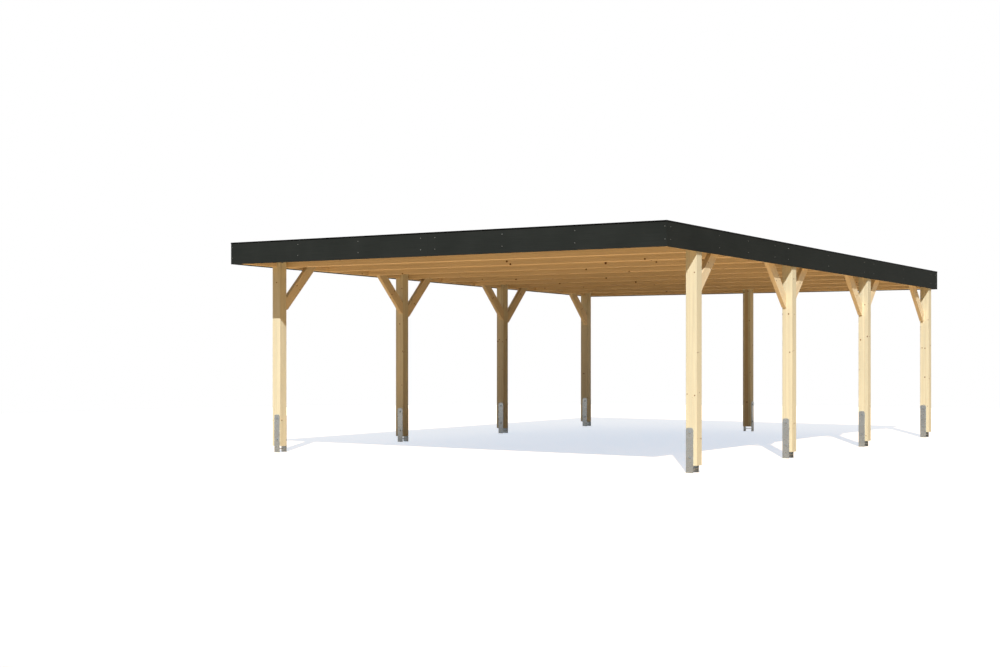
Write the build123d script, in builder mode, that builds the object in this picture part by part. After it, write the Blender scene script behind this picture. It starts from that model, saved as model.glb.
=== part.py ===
from build123d import *
from math import cos, floor, radians, sin, sqrt, tan
import os

# A free-standing double carport in laminated timber. Millimetres, +X to the right along the
# drive-in front, +Y from the front to the rear, +Z up. The origin is on the floor under the
# middle of the roof, and the post anchors stand on the floor.

# Roof outline
roof_width = 5664.0
roof_depth = 8280.0
roof_fall = 1.0
front_clear_height = 2220.0

# Posts
post_size = 120.0
post_edge_chamfer = 4.0
post_foot_height = 75.0
post_top_gap = 10.0
row_count = 4
front_overhang = 685.0
rear_overhang = 200.0
rear_post_offset = 50.0

# Post anchors
anchor_plate_width = 80.0
anchor_plate_thickness = 6.0
anchor_plate_height = 450.0
anchor_edge_inset = 4.0
anchor_corner_radius = 25.0
anchor_hole_radius = 7.0
anchor_hole_drops = (47.0, 298.0)
anchor_web_gap = 30.0

# Purlins and rafters
beam_height = 180.0
beam_rise = 10.0
purlin_width = 70.0
rafter_width = 60.0
rafters_in_bay = 3
rafter_post_gap = 25.0
beam_edge_chamfer = 3.0

# Knee braces
brace_width = 120.0
brace_foot_nose = 22.0
brace_rafter_gap = 21.0
front_brace_head_lap = 80.0
rear_brace_head_lap = 62.0

# Fascia boards and their cap
fascia_thickness = 22.0
fascia_height = 250.0
fascia_joint_gap = 2.0
front_board_count = 2
side_board_count = 3
cap_thickness = 1.5
cap_leg = 14.0
cap_play = 0.3

# Ribbed roof sheet
sheet_thickness = 1.5
sheet_edge_gap = 5.0
rib_pitch = 207.0
rib_height = 35.0
rib_top_width = 40.0
rib_flank_width = 20.0
ribs_on_sheet = 5
lap_play = 0.3
lap_foot = 12.0

# Faces that the pieces share
fall_slope = tan(radians(roof_fall))
front_face = -roof_depth / 2
rear_face = roof_depth / 2
row_outer_x = roof_width / 2 - fascia_thickness
row_inner_x = row_outer_x - post_size
purlin_inner_x = row_outer_x - purlin_width
brace_thickness = post_size - purlin_width
frame_front_y = front_face + fascia_thickness
frame_rear_y = rear_face - fascia_thickness
first_post_y = front_face + front_overhang
last_post_y = rear_face - rear_overhang - post_size
row_pitch = (last_post_y - first_post_y) / (row_count - 1)
row_starts = [first_post_y + row * row_pitch for row in range(row_count)]
rafter_pitch = row_pitch / rafters_in_bay
brace_reach = rafter_pitch - post_size - rafter_post_gap - rafter_width - brace_rafter_gap
row_names = ["front", "second", "third", "rear"]
bay_names = ["front", "middle", "rear"]


def eaves_height(y):
    """Height of the fascia's lower edge above the floor, falling to the rear."""
    return front_clear_height - (y - front_face) * fall_slope


def band(y_start, y_end, low, high):
    """Side outline between two heights above the fascia's lower edge."""
    return [
        (y_start, eaves_height(y_start) + low),
        (y_end, eaves_height(y_end) + low),
        (y_end, eaves_height(y_end) + high),
        (y_start, eaves_height(y_start) + high),
    ]


def save(piece, name):
    """Label a finished piece and write it under its own name."""
    piece.part.label = name
    export_step(piece.part, f"parts/{name}.step")


os.makedirs("parts", exist_ok=True)

beam_top = beam_rise + beam_height
roof_top = fascia_height + rib_height


# Row posts are glued laminated timber. The outer part of each head is cut away as a seat for the
# purlin, and the tongue that is left runs up inside the purlin.
def row_post(side, y):
    centre_x = side * (row_outer_x - post_size / 2)
    tongue_top = beam_top - post_top_gap
    past_front = y - post_size
    past_rear = y + 2 * post_size
    with BuildPart() as post:
        with BuildSketch(Plane.XY.offset(post_foot_height)):
            with Locations((centre_x, y + post_size / 2)):
                Rectangle(post_size, post_size)
        extrude(amount=eaves_height(y) + beam_top - post_foot_height)
        chamfer(post.edges().filter_by(Axis.Z), length=post_edge_chamfer)
        with BuildSketch(Plane.YZ.offset(-roof_width)):
            with BuildLine():
                Polyline(*band(past_front, past_rear, tongue_top, tongue_top + roof_top), close=True)
            make_face()
        extrude(amount=2 * roof_width, mode=Mode.SUBTRACT)
        with BuildSketch(Plane.YZ.offset(side * purlin_inner_x)):
            with BuildLine():
                Polyline(*band(past_front, past_rear, beam_rise, roof_top), close=True)
            make_face()
        extrude(amount=side * (purlin_width + post_size), mode=Mode.SUBTRACT)
    return post


for side, side_name in ((-1, "left"), (1, "right")):
    for row_name, y in zip(row_names, row_starts):
        save(row_post(side, y), f"post_{side_name}_{row_name}")


# The rear centre post keeps its full section up to the rafter that it is bolted to.
last_rafter_y = row_starts[-1] + post_size + rafter_post_gap
rear_post_y = last_rafter_y - post_size
rear_post_top = beam_top - post_top_gap
head_cut = band(rear_post_y - post_size, last_rafter_y + post_size, rear_post_top, rear_post_top + roof_top)
with BuildPart() as rear_post:
    with BuildSketch(Plane.XY.offset(post_foot_height)):
        with Locations((rear_post_offset, rear_post_y + post_size / 2)):
            Rectangle(post_size, post_size)
    extrude(amount=eaves_height(rear_post_y) + beam_top - post_foot_height)
    chamfer(rear_post.edges().filter_by(Axis.Z), length=post_edge_chamfer)
    with BuildSketch(Plane.YZ.offset(-roof_width)):
        with BuildLine():
            Polyline(*head_cut, close=True)
        make_face()
    extrude(amount=2 * roof_width, mode=Mode.SUBTRACT)
save(rear_post, "post_rear_centre")


# Each anchor is a galvanised steel H: two upright plates on opposite faces of the post, joined by
# a web that lies clear of the post's end, so that the end grain dries. The bolts through the plates
# carry the post. The plates sit towards one side of the post.
def post_anchor(x, y, toward):
    seat = Plane(origin=(x, y, 0), x_dir=toward, z_dir=(0, 0, 1))
    plate_offset = (post_size - anchor_plate_width) / 2 - anchor_edge_inset
    plate_spacing = post_size + anchor_plate_thickness
    through = Plane(origin=seat.from_local_coords((plate_offset, 0, 0)), x_dir=seat.x_dir, z_dir=-seat.y_dir)
    with BuildPart() as anchor:
        with BuildSketch(seat):
            with Locations((plate_offset, -plate_spacing / 2), (plate_offset, plate_spacing / 2)):
                Rectangle(anchor_plate_width, anchor_plate_thickness)
        extrude(amount=anchor_plate_height)
        top_edges = anchor.edges().group_by(Axis.Z)[-1].filter_by(Axis((x, y, 0), tuple(seat.y_dir)))
        fillet(top_edges, radius=anchor_corner_radius)
        with BuildSketch(seat.offset(post_foot_height - anchor_web_gap - anchor_plate_thickness)):
            with Locations((plate_offset, 0)):
                Rectangle(anchor_plate_width, post_size)
        extrude(amount=anchor_plate_thickness)
        with BuildSketch(through):
            with Locations(*[(0, anchor_plate_height - drop) for drop in anchor_hole_drops]):
                Circle(anchor_hole_radius)
        extrude(amount=post_size, both=True, mode=Mode.SUBTRACT)
    return anchor


for side, side_name in ((-1, "left"), (1, "right")):
    for row_name, y in zip(row_names, row_starts):
        centre_x = side * (row_outer_x - post_size / 2)
        anchor = post_anchor(centre_x, y + post_size / 2, (-side, 0, 0))
        save(anchor, f"anchor_{side_name}_{row_name}")
save(post_anchor(rear_post_offset, rear_post_y + post_size / 2, (0, 1, 0)), "anchor_rear_centre")


# A knee brace rises at 45 degrees from a post to the purlin. It fills the post's tongue width, so
# its outer face lies on the purlin's inner face, where its head is bolted. The head ends just short
# of the next rafter, and laps the purlin less on the rear side of a post, where the purlin falls away.
def brace_outline(post_face, heading):
    rise = brace_width * sqrt(2)
    head_lap = rear_brace_head_lap if heading > 0 else front_brace_head_lap
    head = eaves_height(post_face + heading * brace_reach) + beam_rise + head_lap
    foot = head - brace_reach
    outline = [
        (0, foot + brace_foot_nose),
        (brace_foot_nose, foot + brace_foot_nose),
        (brace_reach, head),
        (brace_reach - rise, head),
        (0, foot + rise),
    ]
    return [(post_face + heading * reach, height) for reach, height in outline]


for side, side_name in ((-1, "left"), (1, "right")):
    for row, row_name in enumerate(row_names):
        outlines = []
        if row > 0:
            outlines.append(brace_outline(row_starts[row], -1))
        if row < row_count - 1:
            outlines.append(brace_outline(row_starts[row] + post_size, 1))
        with BuildPart() as braces:
            with BuildSketch(Plane.YZ.offset(side * purlin_inner_x)):
                for outline in outlines:
                    with BuildLine():
                        Polyline(*outline, close=True)
                    make_face()
            extrude(amount=-side * brace_thickness)
            long_edges = braces.edges().filter_by(lambda edge: edge.length > 2 * brace_width)
            chamfer(long_edges, length=beam_edge_chamfer)
        save(braces, f"braces_{side_name}_{row_name}")


# The purlins run from fascia to fascia in the notches of the post heads.
for side, side_name in ((-1, "left"), (1, "right")):
    with BuildPart() as purlin:
        with BuildSketch(Plane.YZ.offset(side * purlin_inner_x)):
            with BuildLine():
                Polyline(*band(frame_front_y, frame_rear_y, beam_rise, beam_top), close=True)
            make_face()
        extrude(amount=side * purlin_width)
        chamfer(purlin.edges().group_by(SortBy.LENGTH)[-1], length=beam_edge_chamfer)
    save(purlin, f"purlin_{side_name}")


# Rafters hang between the purlins, three to a bay, the first of each bay just behind its posts.
# The edge rafters carry the front and rear fascia.
def rafter_group(starts):
    with BuildPart() as rafters:
        with BuildSketch(Plane.YZ.offset(-purlin_inner_x)):
            for y in starts:
                with BuildLine():
                    Polyline(*band(y, y + rafter_width, beam_rise, beam_top), close=True)
                make_face()
        extrude(amount=2 * purlin_inner_x)
        chamfer(rafters.edges().filter_by(Axis.X), length=beam_edge_chamfer)
    return rafters


save(rafter_group([frame_front_y]), "rafter_front")
save(rafter_group([frame_rear_y - rafter_width]), "rafter_rear")
save(rafter_group([last_rafter_y]), "rafter_rear_posts")
for bay, bay_name in enumerate(bay_names):
    bay_start = row_starts[bay] + post_size + rafter_post_gap
    starts = [bay_start + step * rafter_pitch for step in range(rafters_in_bay)]
    save(rafter_group(starts), f"rafters_{bay_name}_bay")


# Front and rear fascia boards run over the full width, and the side boards stand between them.
# Boards meet end to end with an open joint.
def board_spans(start, end, count):
    length = (end - start - (count - 1) * fascia_joint_gap) / count
    return [(start + i * (length + fascia_joint_gap), length) for i in range(count)]


for y, end_name in ((front_face, "front"), (frame_rear_y, "rear")):
    with BuildPart() as end_fascia:
        for start, length in board_spans(-roof_width / 2, roof_width / 2, front_board_count):
            with BuildSketch(Plane.YZ.offset(start)):
                with BuildLine():
                    Polyline(*band(y, y + fascia_thickness, 0, fascia_height), close=True)
                make_face()
            extrude(amount=length)
    save(end_fascia, f"fascia_{end_name}")

for start_x, side_name in ((-roof_width / 2, "left"), (row_outer_x, "right")):
    with BuildPart() as side_fascia:
        with BuildSketch(Plane.YZ.offset(start_x)):
            for start, length in board_spans(frame_front_y, frame_rear_y, side_board_count):
                with BuildLine():
                    Polyline(*band(start, start + length, 0, fascia_height), close=True)
                make_face()
        extrude(amount=fascia_thickness)
    save(side_fascia, f"fascia_{side_name}")


# A folded metal angle caps the top edge of the fascia, with its short leg over the outer face.
def cap_outline(outer_face, inner_face, edge_at):
    """Angle section over a board; edge_at gives the height of the board's top edge at a place."""
    outward = 1 if outer_face > inner_face else -1
    leg_back = outer_face + outward * cap_play
    leg_front = leg_back + outward * cap_thickness
    return [
        (leg_front, edge_at(leg_front) - cap_leg),
        (leg_back, edge_at(leg_back) - cap_leg),
        (leg_back, edge_at(leg_back)),
        (inner_face, edge_at(inner_face)),
        (inner_face, edge_at(inner_face) + cap_thickness),
        (leg_front, edge_at(leg_front) + cap_thickness),
    ]


def board_top(y):
    return eaves_height(y) + fascia_height


cap_reach = roof_width / 2 + cap_play + cap_thickness
for outer_y, inner_y, end_name in ((front_face, frame_front_y, "front"), (rear_face, frame_rear_y, "rear")):
    with BuildPart() as end_cap:
        with BuildSketch(Plane.YZ.offset(-cap_reach)):
            with BuildLine():
                Polyline(*cap_outline(outer_y, inner_y, board_top), close=True)
            make_face()
        extrude(amount=2 * cap_reach)
    save(end_cap, f"cap_{end_name}")

side_length = frame_rear_y - frame_front_y
fall_direction = (0, cos(radians(roof_fall)), -sin(radians(roof_fall)))
for side, side_name in ((-1, "left"), (1, "right")):
    side_outline = cap_outline(side * roof_width / 2, side * row_outer_x, lambda x: board_top(frame_front_y))
    with BuildPart() as side_cap:
        with BuildSketch(Plane(origin=(0, frame_front_y, 0), x_dir=(1, 0, 0), z_dir=(0, -1, 0))):
            with BuildLine():
                Polyline(*side_outline, close=True)
            make_face()
        extrude(amount=side_length / cos(radians(roof_fall)), dir=fall_direction)
    save(side_cap, f"cap_{side_name}")


# Ribbed sheets lie on the rafters and purlins inside the fascia, their ribs running with the fall.
# The last rib of each sheet lies over the first rib of the next, and the last sheet is cut to width.
def rib_outline(centre, rise, left_foot, right_foot):
    """Underside of one rib; rise lifts it over another rib, and a foot can end above the rafters."""
    top = rib_height + rise
    spread = rib_flank_width / rib_height
    return [
        (centre - rib_top_width / 2 - (top - left_foot) * spread, left_foot),
        (centre - rib_top_width / 2, top),
        (centre + rib_top_width / 2, top),
        (centre + rib_top_width / 2 + (top - right_foot) * spread, right_foot),
    ]


sheet_edge = row_outer_x - sheet_edge_gap
rib_count = floor((2 * sheet_edge - rib_pitch) / rib_pitch)
lap_ribs = list(range(ribs_on_sheet - 1, rib_count - 1, ribs_on_sheet))
lap_rise = sheet_thickness + lap_play


def sheet_line(first_rib, last_rib):
    """Underside of the sheet that runs from one rib to another."""
    points = [(-sheet_edge, 0)] if first_rib == 0 else []
    for rib in range(first_rib, last_rib + 1):
        centre = (rib - (rib_count - 1) / 2) * rib_pitch
        starts_under = rib == first_rib and rib in lap_ribs
        ends_over = rib == last_rib and rib in lap_ribs
        left_foot = lap_foot if starts_under else 0
        right_foot = lap_foot + lap_rise if ends_over else 0
        points += rib_outline(centre, lap_rise if ends_over else 0, left_foot, right_foot)
    if last_rib == rib_count - 1:
        points.append((sheet_edge, 0))
    return points


sheet_start = frame_front_y + sheet_edge_gap
sheet_length = frame_rear_y - sheet_edge_gap - sheet_start
sheet_seat = eaves_height(sheet_start) + beam_top
with BuildPart() as roof_sheet:
    with BuildSketch(Plane(origin=(0, sheet_start, 0), x_dir=(1, 0, 0), z_dir=(0, -1, 0))):
        for first_rib, last_rib in zip([0] + lap_ribs, lap_ribs + [rib_count - 1]):
            underside = [(x, sheet_seat + height) for x, height in sheet_line(first_rib, last_rib)]
            topside = [(x, height + sheet_thickness) for x, height in reversed(underside)]
            with BuildLine():
                Polyline(*underside, *topside, close=True)
            make_face()
    extrude(amount=sheet_length / cos(radians(roof_fall)), dir=fall_direction)
save(roof_sheet, "roof_sheet")
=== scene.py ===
import math
import bpy
from mathutils import Matrix, Vector


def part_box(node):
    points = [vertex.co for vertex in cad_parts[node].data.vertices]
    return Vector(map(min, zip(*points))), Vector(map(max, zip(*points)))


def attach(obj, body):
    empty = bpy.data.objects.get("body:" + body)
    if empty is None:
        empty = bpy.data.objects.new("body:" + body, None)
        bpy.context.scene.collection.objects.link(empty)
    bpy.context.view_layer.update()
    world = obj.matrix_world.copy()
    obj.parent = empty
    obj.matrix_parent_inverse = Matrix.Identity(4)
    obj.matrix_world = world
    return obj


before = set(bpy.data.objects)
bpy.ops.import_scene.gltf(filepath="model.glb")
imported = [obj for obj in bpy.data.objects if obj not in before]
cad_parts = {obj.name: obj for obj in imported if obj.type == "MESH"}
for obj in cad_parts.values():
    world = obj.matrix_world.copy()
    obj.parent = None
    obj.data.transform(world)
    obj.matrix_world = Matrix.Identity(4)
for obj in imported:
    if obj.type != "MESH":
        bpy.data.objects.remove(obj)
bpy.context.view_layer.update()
bpy.ops.object.select_all(action="DESELECT")

# Posts. Square laminated spruce, three boards glued together, planed and with eased edges, left
# untreated. Each stands in a steel anchor and is notched at its head for the purlin beside it.
# The face margin keeps a piece's outer faces clear of a glue line.
POST_PLACES = ("front", "second", "third", "rear")
POST_ROWS = {"left": POST_PLACES, "right": POST_PLACES}
POST_BOARD = 0.0409
GLUE_WIDTH = 0.001
FACE_MARGIN = 0.00125
WAVE_LENGTH = 2 * math.pi / 20
POST_KNOTS = (0.41, 0.038, 0.0105)
POST_TONES = ("#E6E4C9", "#E2DCBE", "#D2BF97", "#E0D7B6")
ALONG_Z = (0.0, math.radians(90), 0.0)


def linear(hex_colour):
    """Turns an sRGB hex colour into the linear colour that a shader takes."""
    channels = [int(hex_colour[place:place + 2], 16) / 255 for place in (1, 3, 5)]
    return [c / 12.92 if c <= 0.04045 else ((c + 0.055) / 1.055) ** 2.4 for c in channels] + [1.0]


def add(tree, kind, inputs=None, **settings):
    """Adds one node with its settings, and links or sets its inputs."""
    made = tree.nodes.new(kind)
    for name, value in settings.items():
        setattr(made, name, value)
    for name, value in (inputs or {}).items():
        if isinstance(value, bpy.types.NodeSocket):
            tree.links.new(value, made.inputs[name])
        else:
            made.inputs[name].default_value = value
    return made


def ramp(tree, value, stops):
    """A colour ramp over a value, from (place, hex colour) stops."""
    made = add(tree, "ShaderNodeValToRGB", {"Fac": value})
    band = made.color_ramp
    while len(band.elements) < len(stops):
        band.elements.new(0.5)
    for element, (place, colour) in zip(band.elements, stops):
        element.position = place
        element.color = linear(colour)
    return made.outputs["Color"]


def blank_material(name):
    """A material with an empty tree, its output node and a Principled shader."""
    material = bpy.data.materials.new(name)
    material.use_nodes = True
    tree = material.node_tree
    tree.nodes.clear()
    shader = add(tree, "ShaderNodeBsdfPrincipled")
    add(tree, "ShaderNodeOutputMaterial", {"Surface": shader.outputs["BSDF"]})
    return material, tree, shader


def laminated_spruce(name, turn, board, stack_start, cell, tones, knots, mirror=None):
    """Planed laminated spruce. The turn brings the length of the piece to X and the stack of
    glued boards to Z. Boards differ in tone, and each has its own growth rings, knots and fibre.
    A cell, its start and its size, parts like pieces that stand side by side. The tones are the
    colours across one growth ring: the wood's own, and for the beams and the braces painted warm
    shade as well. A mirror, its start and its half length, folds the pattern over for pieces that
    lean both ways."""
    material, tree, shader = blank_material(name)
    place = add(tree, "ShaderNodeTexCoord").outputs["Object"]
    folded_place = place
    half_bay = 0.0
    if mirror:
        split = add(tree, "ShaderNodeSeparateXYZ", {"Vector": place})
        from_post = add(tree, "ShaderNodeMath", {0: split.outputs["Y"], 1: mirror[0]}, operation="SUBTRACT")
        folded = add(tree, "ShaderNodeMath", {0: from_post.outputs[0], 1: mirror[1]}, operation="PINGPONG")
        half_bays = add(tree, "ShaderNodeMath", {0: from_post.outputs[0], 1: mirror[1]}, operation="DIVIDE")
        half_bay = add(tree, "ShaderNodeMath", {0: half_bays.outputs[0]}, operation="FLOOR").outputs[0]
        folded_place = add(tree, "ShaderNodeCombineXYZ", {"X": split.outputs["X"], "Y": folded.outputs[0],
                                                          "Z": split.outputs["Z"]}).outputs["Vector"]
    turned = add(tree, "ShaderNodeMapping", {"Vector": folded_place, "Rotation": turn}).outputs["Vector"]
    axes = add(tree, "ShaderNodeSeparateXYZ", {"Vector": turned})

    # Which glued board a point is in, and a random colour that goes with that board
    stack = add(tree, "ShaderNodeMath", {0: axes.outputs["Z"], 1: stack_start - FACE_MARGIN},
                operation="SUBTRACT")
    layers = add(tree, "ShaderNodeMath", {0: stack.outputs[0], 1: board}, operation="DIVIDE")
    layer = add(tree, "ShaderNodeMath", {0: layers.outputs[0]}, operation="FLOOR")
    inside = add(tree, "ShaderNodeMath", {0: layers.outputs[0]}, operation="FRACT")
    across = add(tree, "ShaderNodeMath", {0: axes.outputs["Y"], 1: cell[0]}, operation="SUBTRACT")
    cells = add(tree, "ShaderNodeMath", {0: across.outputs[0], 1: cell[1]}, operation="DIVIDE")
    piece = add(tree, "ShaderNodeMath", {0: cells.outputs[0]}, operation="FLOOR")
    board_key = add(tree, "ShaderNodeCombineXYZ", {"X": piece.outputs[0], "Y": layer.outputs[0],
                                                   "Z": half_bay})
    chance = add(tree, "ShaderNodeTexWhiteNoise", {"Vector": board_key.outputs[0]}, noise_dimensions="3D")
    board_chance = add(tree, "ShaderNodeSeparateXYZ", {"Vector": chance.outputs["Color"]})

    # Growth rings 5 mm apart round a pith that lies beside the board, drawn out along its length.
    # Real rings are 2 to 3 mm apart, too fine to show from the camera. A wave texture at scale 1
    # repeats once in WAVE_LENGTH.
    ring_pitch = 0.005
    pith_shift = add(tree, "ShaderNodeVectorMath", {0: chance.outputs["Color"], 1: (3.0, 0.11, 0.09)},
                     operation="MULTIPLY")
    ring_place = add(tree, "ShaderNodeVectorMath", {0: turned, 1: pith_shift.outputs[0]}, operation="ADD")
    drawn_out = add(tree, "ShaderNodeVectorMath", {0: ring_place.outputs[0], 1: (0.012, 1.0, 1.0)},
                    operation="MULTIPLY")
    rings = add(tree, "ShaderNodeTexWave",
                {"Vector": drawn_out.outputs[0], "Scale": WAVE_LENGTH / ring_pitch, "Distortion": 5.0,
                 "Detail": 2.0, "Detail Scale": 0.16, "Detail Roughness": 0.55},
                wave_type="RINGS", rings_direction="X", wave_profile="SAW")
    wood = ramp(tree, rings.outputs["Fac"], list(zip((0.0, 0.55, 0.86, 1.0), tones)))

    # Fibre. Real fibre is too fine to show, so it is drawn in streaks 2 mm wide and 150 mm long.
    fibre_length = 0.150
    fibre_width = 0.002
    fibre_scale = (1 / fibre_length, 1 / fibre_width, 1 / fibre_width)
    fibre_place = add(tree, "ShaderNodeVectorMath", {0: turned, 1: fibre_scale}, operation="MULTIPLY")
    fibre = add(tree, "ShaderNodeTexNoise", {"Vector": fibre_place.outputs[0], "Scale": 1.0, "Detail": 3.0,
                                             "Roughness": 0.6})
    fibre_tone = add(tree, "ShaderNodeMapRange", {"Value": fibre.outputs["Fac"], "From Min": 0.3,
                                                  "From Max": 0.7, "To Min": 0.94, "To Max": 1.04})
    board_tone = add(tree, "ShaderNodeMapRange", {"Value": board_chance.outputs["X"], "To Min": 0.93,
                                                  "To Max": 1.05})

    # Figure, the broad flames of a board sawn flat to its rings, 30 mm wide and 900 mm long
    figure_length = 0.9
    figure_width = 0.03
    figure_scale = (1 / figure_length, 1 / figure_width, 1 / figure_width)
    figure_place = add(tree, "ShaderNodeVectorMath", {0: ring_place.outputs[0], 1: figure_scale},
                       operation="MULTIPLY")
    figure = add(tree, "ShaderNodeTexNoise", {"Vector": figure_place.outputs[0], "Scale": 1.0,
                                              "Detail": 2.0})
    figure_tone = add(tree, "ShaderNodeMapRange", {"Value": figure.outputs["Fac"], "From Min": 0.3,
                                                   "From Max": 0.7, "To Min": 0.94, "To Max": 1.065})
    tone = add(tree, "ShaderNodeMath", {0: fibre_tone.outputs[0], 1: board_tone.outputs[0]},
               operation="MULTIPLY")
    tone = add(tree, "ShaderNodeMath", {0: tone.outputs[0], 1: figure_tone.outputs[0]},
               operation="MULTIPLY")
    toned = add(tree, "ShaderNodeVectorMath", {0: wood, "Scale": tone.outputs[0]}, operation="SCALE")

    # Glue lines between the boards
    glue = add(tree, "ShaderNodeMath", {0: inside.outputs[0], 1: GLUE_WIDTH / board}, operation="LESS_THAN")
    glued = add(tree, "ShaderNodeMix", {"Factor": glue.outputs[0], "A": toned.outputs[0],
                                        "B": linear("#C39A66")}, data_type="RGBA")

    # Knots, a dark heart in a brown rim. A spruce grows its branches in whorls, so its knots come in
    # rows across a piece: the three numbers are the distance from row to row, the distance from
    # knot to knot in a row and the radius of the largest knot. Each row is shifted in the pattern,
    # so that no two are alike.
    row_distance, knot_distance, largest_knot = knots
    smallest_knot = largest_knot * 0.35
    row_shift_y = 0.37
    row_shift_z = 0.53
    piece_key = add(tree, "ShaderNodeCombineXYZ", {"X": piece.outputs[0], "Z": half_bay})
    piece_chance = add(tree, "ShaderNodeTexWhiteNoise", {"Vector": piece_key.outputs[0]},
                       noise_dimensions="3D")
    rows = add(tree, "ShaderNodeMath", {0: axes.outputs["X"], 1: 1 / row_distance,
                                        2: piece_chance.outputs["Value"]}, operation="MULTIPLY_ADD")
    row = add(tree, "ShaderNodeMath", {0: rows.outputs[0]}, operation="FLOOR")
    in_row = add(tree, "ShaderNodeMath", {0: rows.outputs[0]}, operation="FRACT")
    row_y = add(tree, "ShaderNodeMath", {0: row.outputs[0], 1: row_shift_y, 2: axes.outputs["Y"]},
                operation="MULTIPLY_ADD")
    row_z = add(tree, "ShaderNodeMath", {0: row.outputs[0], 1: row_shift_z, 2: axes.outputs["Z"]},
                operation="MULTIPLY_ADD")
    row_place = add(tree, "ShaderNodeCombineXYZ", {"X": row_y.outputs[0], "Y": row_z.outputs[0]})
    branches = add(tree, "ShaderNodeTexVoronoi",
                   {"Vector": row_place.outputs[0], "Scale": 1 / knot_distance},
                   feature="F1", voronoi_dimensions="2D")
    branch = add(tree, "ShaderNodeSeparateXYZ", {"Vector": branches.outputs["Color"]})
    sideways = add(tree, "ShaderNodeMath", {0: branches.outputs["Distance"], 1: knot_distance},
                   operation="MULTIPLY")
    row_wander = add(tree, "ShaderNodeMapRange", {"Value": branch.outputs["Y"], "To Min": 0.42,
                                                  "To Max": 0.58})
    lengthways = add(tree, "ShaderNodeMath", {0: in_row.outputs[0], 1: row_wander.outputs[0]},
                     operation="SUBTRACT")
    lengthways = add(tree, "ShaderNodeMath", {0: lengthways.outputs[0], 1: row_distance},
                     operation="MULTIPLY")
    to_heart = add(tree, "ShaderNodeCombineXYZ", {"X": sideways.outputs[0], "Y": lengthways.outputs[0]})
    heart_distance = add(tree, "ShaderNodeVectorMath", {0: to_heart.outputs[0]}, operation="LENGTH")
    knot_size = add(tree, "ShaderNodeMapRange", {"Value": branch.outputs["X"], "To Min": smallest_knot,
                                                 "To Max": largest_knot})
    knot_reach = add(tree, "ShaderNodeMath", {0: heart_distance.outputs["Value"], 1: knot_size.outputs[0]},
                     operation="DIVIDE")
    knot_reach = add(tree, "ShaderNodeMath", {0: knot_reach.outputs[0], 1: 0.5}, operation="MULTIPLY")
    knot = ramp(tree, knot_reach.outputs[0], ((0.0, "#FFFFFF"), (0.38, "#FFFFFF"), (0.48, "#8C8C8C"),
                                              (0.62, "#000000")))
    knot_colour = ramp(tree, knot_reach.outputs[0], ((0.0, "#432A10"), (0.28, "#66431D"), (0.6, "#B98850")))
    knotted = add(tree, "ShaderNodeMix", {"Factor": knot, "A": glued.outputs[2], "B": knot_colour},
                  data_type="RGBA")
    tree.links.new(knotted.outputs[2], shader.inputs["Base Color"])

    # Planed face: dull, with the fibre just felt
    height = add(tree, "ShaderNodeMath", {0: rings.outputs["Fac"], 1: fibre.outputs["Fac"]},
                 operation="ADD")
    bump = add(tree, "ShaderNodeBump", {"Height": height.outputs[0], "Strength": 0.25, "Distance": 0.0004})
    tree.links.new(bump.outputs["Normal"], shader.inputs["Normal"])
    shader.inputs["Roughness"].default_value = 0.65
    shader.inputs["Specular IOR Level"].default_value = 0.2
    return material


def dress(names, material):
    """Puts one material on a group of the frame's pieces."""
    for name in names:
        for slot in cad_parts[name].material_slots:
            slot.material = material


first_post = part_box("post_left_front")
second_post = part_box("post_left_second")
row_pitch = second_post[0][1] - first_post[0][1]
first_post_y = (first_post[0][1] + first_post[1][1]) / 2
post_cell = (first_post_y - row_pitch / 2, row_pitch)
for side, places in POST_ROWS.items():
    names = [f"post_{side}_{place}" for place in places]
    stack_start = -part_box(names[0])[1][0]
    dress(names, laminated_spruce(f"laminated_spruce_posts_{side}", ALONG_Z, POST_BOARD, stack_start,
                                  post_cell, POST_TONES, POST_KNOTS))
stack_start = -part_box("post_rear_centre")[1][0]
dress(["post_rear_centre"],
      laminated_spruce("laminated_spruce_post_rear_centre", ALONG_Z, POST_BOARD, stack_start,
                       post_cell, POST_TONES, POST_KNOTS))

# Post anchors. Two upright plates joined low down by a web, cut and welded from 6 mm steel and
# hot-dip galvanised. The post is let in between the plates and bolted through them.


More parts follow.
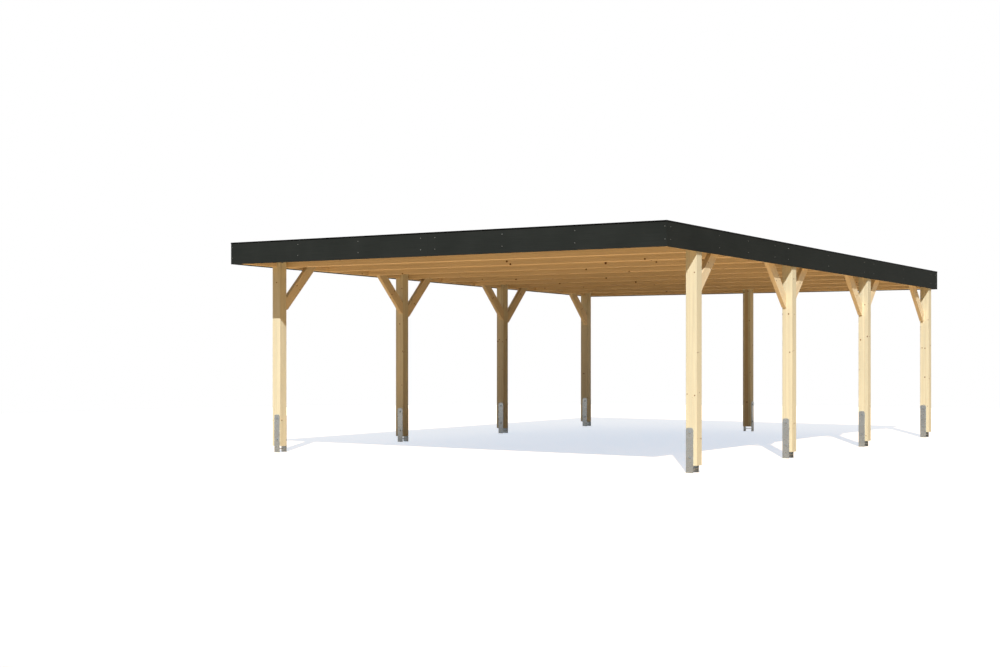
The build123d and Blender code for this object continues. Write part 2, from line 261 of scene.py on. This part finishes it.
def galvanised_steel(name, dark, middle, light):
    """Hot-dip galvanised steel: a dull grey zinc skin that has frozen in flat crystals, the
    spangle, each with its own grey and its own sheen. The spangle is drawn 11 mm across, coarser
    than on most dipped steel, so that it shows from the camera."""
    material, tree, shader = blank_material(name)
    place = add(tree, "ShaderNodeTexCoord").outputs["Object"]
    spangle_size = 0.011
    warped = add(tree, "ShaderNodeTexNoise", {"Vector": place, "Scale": 60.0, "Detail": 2.0})
    shifted = add(tree, "ShaderNodeVectorMath", {0: warped.outputs["Color"], 1: (0.006, 0.006, 0.006),
                                                 2: place}, operation="MULTIPLY_ADD")
    spangle = add(tree, "ShaderNodeTexVoronoi", {"Vector": shifted.outputs[0], "Scale": 1 / spangle_size},
                  feature="F1")
    crystal = add(tree, "ShaderNodeSeparateXYZ", {"Vector": spangle.outputs["Color"]})
    grey = ramp(tree, crystal.outputs["X"], ((0.0, dark), (0.5, middle), (1.0, light)))
    cloud = add(tree, "ShaderNodeTexNoise", {"Vector": place, "Scale": 9.0, "Detail": 4.0})
    cloud_tone = add(tree, "ShaderNodeMapRange", {"Value": cloud.outputs["Fac"], "From Min": 0.3,
                                                  "From Max": 0.7, "To Min": 0.93, "To Max": 1.04})
    toned = add(tree, "ShaderNodeVectorMath", {0: grey, "Scale": cloud_tone.outputs[0]}, operation="SCALE")
    tree.links.new(toned.outputs[0], shader.inputs["Base Color"])
    sheen = add(tree, "ShaderNodeMapRange", {"Value": crystal.outputs["Y"], "To Min": 0.26, "To Max": 0.4})
    tree.links.new(sheen.outputs[0], shader.inputs["Roughness"])
    bump = add(tree, "ShaderNodeBump", {"Height": spangle.outputs["Distance"], "Strength": 0.2,
                                        "Distance": 0.0002})
    tree.links.new(bump.outputs["Normal"], shader.inputs["Normal"])
    shader.inputs["Metallic"].default_value = 0.9
    return material


zinc = galvanised_steel("galvanised_steel_anchors", "#A0ABB3", "#A6B1B9", "#ACB7BF")
anchors = [f"anchor_{side}_{place}" for side, places in POST_ROWS.items() for place in places]
anchors.append("anchor_rear_centre")
dress(anchors, zinc)

# Anchor bolts. Galvanised M12 hex bolts right through the plates and the post, two to an anchor,
# with a flat washer under each head and each nut, and a little thread standing out of the nut.
WASHER_RADIUS = 0.0116
WASHER_THICKNESS = 0.0025
WASHER_TOP_SCALE = 0.96
HEX_ACROSS_FLATS = 0.018
HEX_CHAMFER = 0.001
HEX_TOP_SCALE = 0.86
HEAD_HEIGHT = 0.0075
NUT_HEIGHT = 0.010
THREAD_RADIUS = 0.006
THREAD_SUNK = 0.001
THREAD_LENGTH = 0.004
THREAD_CHAMFER = 0.001
THREAD_TOP_SCALE = 0.8
HOLE_DROPS = (0.047, 0.298)


def grow_top(top, step, scale):
    """In edit mode, extrudes the highest flat face by a step and scales it about its middle."""
    mesh = bpy.context.object.data
    bpy.ops.object.mode_set(mode="OBJECT")
    for face in mesh.polygons:
        face.select = face.normal.z > 0.9 and abs(face.center.z - top) < 0.00001
    bpy.ops.object.mode_set(mode="EDIT")
    bpy.ops.mesh.extrude_region_move(TRANSFORM_OT_translate={"value": (0.0, 0.0, step)})
    bpy.ops.transform.resize(value=(scale, scale, 1.0))


def turned_blank(sides, radius, base, height, steps):
    """A prism or disc on end, from base upwards, with more steps of height and scale on its top."""
    bpy.ops.mesh.primitive_cylinder_add(vertices=sides, radius=radius, depth=height,
                                        location=(0.0, 0.0, base + height / 2))
    blank = bpy.context.object
    bpy.ops.object.transform_apply(location=True)
    bpy.ops.object.mode_set(mode="EDIT")
    bpy.ops.mesh.select_mode(type="FACE")
    top = base + height
    for step, scale in steps:
        grow_top(top, step, scale)
        top += step
    bpy.ops.object.mode_set(mode="OBJECT")
    return blank


def joined(blanks, name):
    """Joins some pieces into one."""
    bpy.ops.object.select_all(action="DESELECT")
    for blank in blanks:
        blank.select_set(True)
    bpy.context.view_layer.objects.active = blanks[0]
    if len(blanks) > 1:
        bpy.ops.object.join()
    blanks[0].name = name
    blanks[0].data.name = name
    blanks[0].select_set(False)
    return blanks[0]


def hex_fastener(name, hex_height, thread):
    """A washer with a chamfered hexagon on it, and the end of the thread if it is a nut."""
    flat = hex_height - HEX_CHAMFER
    half_washer = WASHER_THICKNESS / 2
    parts = [turned_blank(24, WASHER_RADIUS, 0.0, half_washer, [(half_washer, WASHER_TOP_SCALE)]),
             turned_blank(6, HEX_ACROSS_FLATS / math.sqrt(3), WASHER_THICKNESS, flat,
                          [(HEX_CHAMFER, HEX_TOP_SCALE)])]
    if thread:
        thread_start = WASHER_THICKNESS + hex_height - THREAD_SUNK
        parts.append(turned_blank(12, THREAD_RADIUS, thread_start, THREAD_LENGTH,
                                  [(THREAD_CHAMFER, THREAD_TOP_SCALE)]))
    return joined(parts, name)


def set_copies(pattern, places, name):
    """Copies a piece to places, each a point and the direction that its top faces, and joins them."""
    copies = []
    for point, facing in places:
        copy = pattern.copy()
        copy.data = pattern.data.copy()
        bpy.context.scene.collection.objects.link(copy)
        turn = Vector(facing).to_track_quat("Z", "Y").to_matrix().to_4x4()
        copy.data.transform(Matrix.Translation(Vector(point)) @ turn)
        copies.append(copy)
    return joined(copies, name)


bolt_zinc = galvanised_steel("galvanised_steel_bolts", "#97A2AA", "#9EA9B1", "#A5B0B8")
head_pattern = hex_fastener("bolt_head_pattern", HEAD_HEIGHT, False)
nut_pattern = hex_fastener("bolt_nut_pattern", NUT_HEIGHT, True)
for anchor in anchors:
    low, high = (Vector(corner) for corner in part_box(anchor))
    middle = (low + high) / 2
    heights = [high.z - drop for drop in HOLE_DROPS]
    across = anchor == "anchor_rear_centre"
    reach = (high.x - low.x) / 2 if across else (high.y - low.y) / 2
    head_side = Vector((1.0, 0.0, 0.0)) if across else Vector((0.0, -1.0, 0.0))
    heads = [(Vector((middle.x, middle.y, z)) + head_side * reach, head_side) for z in heights]
    nuts = [(Vector((middle.x, middle.y, z)) - head_side * reach, -head_side) for z in heights]
    bolts = joined([set_copies(head_pattern, heads, "heads"), set_copies(nut_pattern, nuts, "nuts")],
                   anchor.replace("anchor", "bolts"))
    bolts.data.materials.append(bolt_zinc)
    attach(bolts, "root")
bpy.data.objects.remove(head_pattern)

# Purlins and rafters. Laminated spruce like the posts, in thicker boards. Their warmer tone is
# painted warm shade, standing for the light bounced about under the roof. The purlins lie in the
# post heads and run to the rear, and the rafters run across between them.
BEAM_BOARD = 0.0456
BEAM_KNOTS = (0.60, 0.068, 0.018)
# Warmer than the posts' tones: painted warm shade for the beams under the roof.
BEAM_TONES_AND_PAINTED_SHADE = ("#F8E4BA", "#F4DCB0", "#DDB681", "#F2D7A8")
ALONG_Y = (0.0, 0.0, math.radians(-90))
ROOF_FALL = math.radians(1.0)
RAFTERS_IN_BAY = 3
first_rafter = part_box("rafter_front")
beam_underside = first_rafter[0][2] * math.cos(ROOF_FALL) + first_rafter[1][1] * math.sin(ROOF_FALL)
# The purlins and the braces need no parting along their cell, so one cell is longer than the roof.
purlin_cell = (0.0, 10.0)
rafter_pitch = row_pitch / RAFTERS_IN_BAY
rafters_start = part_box("rafters_front_bay")[0][1]
rafter_cell = (rafters_start - rafter_pitch / 2, rafter_pitch)
dress(["purlin_left", "purlin_right"],
      laminated_spruce("laminated_spruce_purlins", (ROOF_FALL, 0.0, ALONG_Y[2]), BEAM_BOARD, beam_underside,
                       purlin_cell, BEAM_TONES_AND_PAINTED_SHADE, BEAM_KNOTS))
dress(["rafter_front", "rafter_rear", "rafter_rear_posts", "rafters_front_bay", "rafters_middle_bay",
       "rafters_rear_bay"],
      laminated_spruce("laminated_spruce_rafters", (ROOF_FALL, 0.0, 0.0), BEAM_BOARD, beam_underside,
                       rafter_cell, BEAM_TONES_AND_PAINTED_SHADE, BEAM_KNOTS))

# Head bolts. Galvanised M12 bolts that hold each post head to the purlin beside it, and the rear
# centre post to its rafter, with the nuts and washers on the inside.
BOLTS_OVER_UNDERSIDE = (0.055, 0.125)
BOLT_OFFSETS = (-0.025, 0.025)
slope = math.tan(ROOF_FALL)
purlin_low, purlin_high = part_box("purlin_left")


def purlin_underside(y):
    """Height of the purlins' underside at a place along the fall."""
    return purlin_low[2] + (purlin_high[1] - y) * slope


for side, facing in (("left", 1.0), ("right", -1.0)):
    for row in POST_ROWS[side]:
        low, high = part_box(f"post_{side}_{row}")
        face = high[0] if facing > 0 else low[0]
        y = (low[1] + high[1]) / 2
        places = [((face, y + offset, purlin_underside(y) + height), (facing, 0.0, 0.0))
                  for height, offset in zip(BOLTS_OVER_UNDERSIDE, BOLT_OFFSETS)]
        nuts = set_copies(nut_pattern, places, f"bolts_head_{side}_{row}")
        nuts.data.materials.append(bolt_zinc)
        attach(nuts, "root")
low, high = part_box("post_rear_centre")
x = (low[0] + high[0]) / 2
places = [((x + offset, low[1], purlin_underside(low[1]) + height), (0.0, -1.0, 0.0))
          for height, offset in zip(BOLTS_OVER_UNDERSIDE, BOLT_OFFSETS)]
nuts = set_copies(nut_pattern, places, "bolts_head_rear_centre")
nuts.data.materials.append(bolt_zinc)
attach(nuts, "root")
bpy.data.objects.remove(nut_pattern)

# Knee braces. Plain spruce planks at 45 degrees from a post to its purlin, with a plumb foot on the
# post and a head that laps the purlin on its inner face. Each is a single board, so it shows no
# glue line: the board size below is larger than any brace.
BRACE_BOARD = 1.0
# Warmer than the posts' tones: painted warm shade, set midway between the braces in shade and those in sun.
BRACE_TONES_AND_PAINTED_SHADE = ("#F1E5C4", "#EDDDB9", "#DABC8E", "#EBD8B1")
braces = [f"braces_{side}_{place}" for side, places in POST_ROWS.items() for place in places]
dress(braces, laminated_spruce("spruce_braces", (math.radians(-45), 0.0, ALONG_Y[2]), BRACE_BOARD,
                               BRACE_BOARD / 2, purlin_cell, BRACE_TONES_AND_PAINTED_SHADE, POST_KNOTS,
                               mirror=(first_post_y, row_pitch / 2)))

# Brace screws. Stainless steel wood screws with a raised head and a socket in it: two at each head
# where a brace laps its purlin, and one up through the lower edge of the foot into the post.
SCREW_RADIUS = 0.004
SCREW_RIM = 0.0006
SCREW_LENS = 0.0005
SOCKET_DEPTH = 0.0008
SHORTEST_BRACE_REACH = 0.1
HEAD_LAPS = {-1.0: 0.080, 1.0: 0.062}
FROM_BRACE_END = (0.075, 0.165)
FOOT_NOSE = 0.022
FOOT_SCREW = 0.045


def stainless_steel(name):
    """Bright stainless steel, turned and polished: fine scratches make the sheen uneven. Real ones
    are too fine to show, so they are drawn as specks of 1.5 mm."""
    material, tree, shader = blank_material(name)
    place = add(tree, "ShaderNodeTexCoord").outputs["Object"]
    speck_size = 0.0015
    scratch = add(tree, "ShaderNodeTexNoise", {"Vector": place, "Scale": 1 / speck_size, "Detail": 2.0})
    tree.links.new(ramp(tree, scratch.outputs["Fac"], ((0.3, "#8E918F"), (0.7, "#A2A5A3"))),
                   shader.inputs["Base Color"])
    sheen = add(tree, "ShaderNodeMapRange", {"Value": scratch.outputs["Fac"], "To Min": 0.25,
                                             "To Max": 0.45})
    tree.links.new(sheen.outputs[0], shader.inputs["Roughness"])
    shader.inputs["Metallic"].default_value = 1.0
    return material


stainless = stainless_steel("stainless_steel_screws")
lens_and_socket = [(SCREW_LENS, 0.7), (0.0, 0.6), (-SOCKET_DEPTH, 0.8)]
screw_pattern = turned_blank(12, SCREW_RADIUS, 0.0, SCREW_RIM, lens_and_socket)
for side, facing in (("left", 1.0), ("right", -1.0)):
    for row in POST_ROWS[side]:
        low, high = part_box(f"braces_{side}_{row}")
        post_low, post_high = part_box(f"post_{side}_{row}")
        face = high[0] if facing > 0 else low[0]
        middle_x = (low[0] + high[0]) / 2
        places = []
        # Heading -1 is a brace to the front and 1 one to the rear. An end post has only one of them.
        for heading, end, post_face in ((-1.0, low[1], post_low[1]), (1.0, high[1], post_high[1])):
            reach = (end - post_face) * heading
            if reach < SHORTEST_BRACE_REACH:
                continue
            for step in FROM_BRACE_END:
                y = end - heading * step
                places.append(((face, y, purlin_underside(y) + HEAD_LAPS[heading] / 2), (facing, 0.0, 0.0)))
            foot_z = purlin_underside(end) + HEAD_LAPS[heading] - reach + FOOT_NOSE
            foot_y = post_face + heading * (FOOT_NOSE + FOOT_SCREW)
            places.append(((middle_x, foot_y, foot_z + FOOT_SCREW), (0.0, heading, -1.0)))
        screws = set_copies(screw_pattern, places, f"screws_brace_{side}_{row}")
        screws.data.materials.append(stainless)
        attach(screws, "root")

# Fascia boards. Wide spruce boards, planed and painted anthracite. They are screwed to the frame all
# round and butted end to end, two to a short side and three to a long one.


def painted_spruce(name, turn):
    """Opaque anthracite wood paint on planed boards: the soft grain shows through as fine ridges,
    and brush marks make the sheen uneven."""
    material, tree, shader = blank_material(name)
    place = add(tree, "ShaderNodeTexCoord").outputs["Object"]
    turned = add(tree, "ShaderNodeMapping", {"Vector": place, "Rotation": turn}).outputs["Vector"]
    grain_length = 0.35
    grain_width = 0.006
    grain_scale = (1 / grain_length, 1 / grain_width, 1 / grain_width)
    grain_place = add(tree, "ShaderNodeVectorMath", {0: turned, 1: grain_scale}, operation="MULTIPLY")
    grain = add(tree, "ShaderNodeTexNoise", {"Vector": grain_place.outputs[0], "Scale": 1.0, "Detail": 4.0,
                                             "Roughness": 0.6})
    cloud = add(tree, "ShaderNodeTexNoise", {"Vector": turned, "Scale": 2.2, "Detail": 3.0})
    shade = add(tree, "ShaderNodeMath", {0: grain.outputs["Fac"], 1: cloud.outputs["Fac"]},
                operation="ADD")
    half = add(tree, "ShaderNodeMath", {0: shade.outputs[0], 1: 0.5}, operation="MULTIPLY")
    colour = ramp(tree, half.outputs[0], ((0.3, "#252928"), (0.5, "#2B2F2E"), (0.7, "#313534")))
    tree.links.new(colour, shader.inputs["Base Color"])
    sheen = add(tree, "ShaderNodeMapRange", {"Value": cloud.outputs["Fac"], "To Min": 0.5, "To Max": 0.68})
    tree.links.new(sheen.outputs[0], shader.inputs["Roughness"])
    bump = add(tree, "ShaderNodeBump", {"Height": grain.outputs["Fac"], "Strength": 0.35,
                                        "Distance": 0.0004})
    tree.links.new(bump.outputs["Normal"], shader.inputs["Normal"])
    shader.inputs["Specular IOR Level"].default_value = 0.01
    return material


dress(["fascia_front", "fascia_rear"], painted_spruce("painted_spruce_boards_across", (0.0, 0.0, 0.0)))
dress(["fascia_left", "fascia_right"], painted_spruce("painted_spruce_boards_along", ALONG_Y))

# Fascia screws. The same stainless steel wood screws as in the braces, driven in pairs one above
# the other through the boards into the frame.
PAIR_HEIGHTS = (0.070, 0.193)
FRONT_COLUMNS = (0.020, 1.021, 1.888, 2.738)
SIDE_COLUMNS = (0.082, 1.166, 1.871, 2.576, 2.952, 4.160, 5.367, 5.700, 6.850, 7.997, 8.200)
front_low, front_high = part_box("fascia_front")
eaves = front_low[2] + (front_high[1] - front_low[1]) * slope


def board_edge(y):
    """Height of the boards' lower edge at a place along the fall."""
    return eaves - (y - front_low[1]) * slope


for end, facing in (("front", -1.0), ("rear", 1.0)):
    low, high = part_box(f"fascia_{end}")
    face = low[1] if facing < 0 else high[1]
    columns = [low[0] + step for step in FRONT_COLUMNS] + [high[0] - step for step in FRONT_COLUMNS]
    places = [((x, face, board_edge(face) + height), (0.0, facing, 0.0)) for x in columns
              for height in PAIR_HEIGHTS]
    screws = set_copies(screw_pattern, places, f"screws_fascia_{end}")
    screws.data.materials.append(stainless)
    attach(screws, "root")
for side, facing in (("left", -1.0), ("right", 1.0)):
    low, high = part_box(f"fascia_{side}")
    face = low[0] if facing < 0 else high[0]
    columns = [front_low[1] + step for step in SIDE_COLUMNS]
    places = [((face, y, board_edge(y) + height), (facing, 0.0, 0.0)) for y in columns
              for height in PAIR_HEIGHTS]
    screws = set_copies(screw_pattern, places, f"screws_fascia_{side}")
    screws.data.materials.append(stainless)
    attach(screws, "root")
bpy.data.objects.remove(screw_pattern)

# Cap strip. Thin sheet aluminium with a black powder coat, folded over the top edge of the boards,
# one length to each side of the roof.


def powder_coat(name, colour_low, colour_high, sheen):
    """Matt powder coat on sheet metal: an even colour with the fine orange peel of the coat."""
    material, tree, shader = blank_material(name)
    place = add(tree, "ShaderNodeTexCoord").outputs["Object"]
    peel_size = 0.003
    peel = add(tree, "ShaderNodeTexNoise", {"Vector": place, "Scale": 1 / peel_size, "Detail": 1.0})
    dust = add(tree, "ShaderNodeTexNoise", {"Vector": place, "Scale": 1.7, "Detail": 5.0})
    colour = ramp(tree, dust.outputs["Fac"], ((0.35, colour_low), (0.7, colour_high)))
    tree.links.new(colour, shader.inputs["Base Color"])
    bump = add(tree, "ShaderNodeBump", {"Height": peel.outputs["Fac"], "Strength": 0.2, "Distance": 0.0002})
    tree.links.new(bump.outputs["Normal"], shader.inputs["Normal"])
    shader.inputs["Roughness"].default_value = 0.5
    shader.inputs["Specular IOR Level"].default_value = sheen
    return material


dress(["cap_front", "cap_rear", "cap_left", "cap_right"],
      powder_coat("black_powder_coat", "#0B0C0C", "#101111", 0.03))

# Roof sheet. Ribbed steel sheets with an anthracite coating, lapped side by side with their ribs
# along the fall. They lie on the rafters, inside the boards.
dress(["roof_sheet"], powder_coat("anthracite_coated_sheet", "#4C5053", "#53575A", 0.5))

# Roof screws. Self-drilling screws with a domed washer, through every second rib of the sheets
# into each rafter.
ROOF_WASHER_RADIUS = 0.008
ROOF_WASHER_HEIGHT = 0.0015
ROOF_WASHER_TOP_SCALE = 0.7
ROOF_HEX_RADIUS = 0.0046
ROOF_HEX_HEIGHT = 0.004
ROOF_HEX_CHAMFER = 0.0006
ROOF_HEX_TOP_SCALE = 0.85
RIB_PITCH = 0.207
RIB_COUNT = 26
SCREWED_RIB_STEP = 2
SHEET_TOP = 0.0365
LAP_RISE = 0.0018
RIBS_ON_SHEET = 5
half_dome = ROOF_WASHER_HEIGHT / 2
roof_washer = turned_blank(16, ROOF_WASHER_RADIUS, 0.0, half_dome, [(half_dome, ROOF_WASHER_TOP_SCALE)])
roof_hex = turned_blank(6, ROOF_HEX_RADIUS, ROOF_WASHER_HEIGHT, ROOF_HEX_HEIGHT,
                        [(ROOF_HEX_CHAMFER, ROOF_HEX_TOP_SCALE)])
roof_pattern = joined([roof_washer, roof_hex], "roof_screw_pattern")
fall_normal = Vector((0.0, math.sin(ROOF_FALL), math.cos(ROOF_FALL)))
rafter_half = (first_rafter[1][1] - first_rafter[0][1]) / 2
lone_rafters = ("rafter_front", "rafter_rear", "rafter_rear_posts")
rafter_rows = [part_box(name)[0][1] + rafter_half for name in lone_rafters]
for bay in ("front", "middle", "rear"):
    bay_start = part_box(f"rafters_{bay}_bay")[0][1] + rafter_half
    rafter_rows += [bay_start + rafter_pitch * step for step in range(RAFTERS_IN_BAY)]
beam_top = first_rafter[1][2] + first_rafter[0][1] * slope
places = []
for rib in range(0, RIB_COUNT, SCREWED_RIB_STEP):
    lapped = rib % RIBS_ON_SHEET == RIBS_ON_SHEET - 1
    for y in rafter_rows:
        height = beam_top - y * slope + SHEET_TOP + (LAP_RISE if lapped else 0.0)
        places.append(((RIB_PITCH * (rib - (RIB_COUNT - 1) / 2), y, height), fall_normal))
roof_screws = set_copies(roof_pattern, places, "screws_roof")
roof_screws.data.materials.append(bolt_zinc)
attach(roof_screws, "root")
bpy.data.objects.remove(roof_pattern)

# Floor and light. A pale floor that keeps the shadow, a sun 38 degrees up behind the viewer, and a
# plain sky that is dimmer towards the horizon. The floor's lift whitens it for the camera only and
# lights nothing.
FLOOR_SIDES = 96
FLOOR_RADIUS = 14.0
FLOOR_LIFT = 0.76
HORIZON_LIGHT = 0.03
HIGH_SKY_LIGHT = 0.32
HIGH_SKY_START = 0.4
TOWARDS_SUN = Vector((0.396, -0.682, 0.615))
SUN_STRENGTH = 3.6
SUN_WIDTH = math.radians(0.6)
bpy.ops.mesh.primitive_circle_add(vertices=FLOOR_SIDES, radius=FLOOR_RADIUS, fill_type="NGON")
floor = bpy.context.object
floor.name = "floor"
floor_material, tree, shader = blank_material("pale_floor")
paths = add(tree, "ShaderNodeLightPath")
speckle = add(tree, "ShaderNodeTexNoise", {"Vector": add(tree, "ShaderNodeTexCoord").outputs["Object"],
                                           "Scale": 3.0, "Detail": 3.0})
tree.links.new(ramp(tree, speckle.outputs["Fac"], ((0.3, "#F7D1A0"), (0.7, "#FCD8A9"))),
               shader.inputs["Base Color"])
shader.inputs["Roughness"].default_value = 0.9
shader.inputs["Emission Color"].default_value = (0.68, 0.83, 1.0, 1.0)
lift = add(tree, "ShaderNodeMath", {0: paths.outputs["Is Camera Ray"], 1: FLOOR_LIFT},
           operation="MULTIPLY")
tree.links.new(lift.outputs[0], shader.inputs["Emission Strength"])
floor.data.materials.append(floor_material)

sky = bpy.data.worlds.new("plain_sky")
bpy.context.scene.world = sky
sky.use_nodes = True
tree = sky.node_tree
tree.nodes.clear()
paths = add(tree, "ShaderNodeLightPath")
seen = add(tree, "ShaderNodeMath", {0: paths.outputs["Is Camera Ray"], 1: paths.outputs["Is Glossy Ray"]},
           operation="MAXIMUM")
seen = add(tree, "ShaderNodeMath", {0: seen.outputs[0], 1: paths.outputs["Is Transmission Ray"]},
           operation="MAXIMUM")
direction = add(tree, "ShaderNodeTexCoord").outputs["Generated"]
heading = add(tree, "ShaderNodeSeparateXYZ", {"Vector": direction})
brightness = add(tree, "ShaderNodeMapRange",
                 {"Value": heading.outputs["Z"], "From Min": 0.0, "From Max": HIGH_SKY_START,
                  "To Min": HORIZON_LIGHT, "To Max": HIGH_SKY_LIGHT})
light = add(tree, "ShaderNodeBackground", {"Color": linear("#F6F9FF"), "Strength": brightness.outputs[0]})
backdrop = add(tree, "ShaderNodeBackground", {"Color": linear("#FFFFFF"), "Strength": 1.0})
both = add(tree, "ShaderNodeMixShader", {0: seen.outputs[0], 1: light.outputs[0], 2: backdrop.outputs[0]})
add(tree, "ShaderNodeOutputWorld", {"Surface": both.outputs[0]})

sun_data = bpy.data.lights.new("sun", "SUN")
sun_data.energy = SUN_STRENGTH
sun_data.angle = SUN_WIDTH
sun = bpy.data.objects.new("sun", sun_data)
sun.rotation_euler = TOWARDS_SUN.to_track_quat("Z", "Y").to_euler()
bpy.context.scene.collection.objects.link(sun)

# Camera. It stands level, 1.24 m up, in front of the object and to its right. The horizon lies 14.9
# of the frame's 1000 pixels under the middle.
HORIZON_DROP = 14.9
FRAME_WIDTH = 1000
CAMERA_PLACE = (9.5055, -17.0874, 1.2427)
CAMERA_TURN = math.radians(33.551)
SENSOR_WIDTH = 36.0
FOCAL_LENGTH = 54.54
VIEW_DISTANCE = 500.0
camera_data = bpy.data.cameras.new("camera")
camera_data.sensor_width = SENSOR_WIDTH
camera_data.lens = FOCAL_LENGTH
camera_data.shift_y = HORIZON_DROP / FRAME_WIDTH
camera_data.clip_end = VIEW_DISTANCE
camera = bpy.data.objects.new("camera", camera_data)
camera.location = CAMERA_PLACE
camera.rotation_euler = (math.radians(90), 0.0, CAMERA_TURN)
bpy.context.scene.collection.objects.link(camera)
bpy.context.scene.camera = camera
bpy.context.scene.view_settings.view_transform = "Standard"
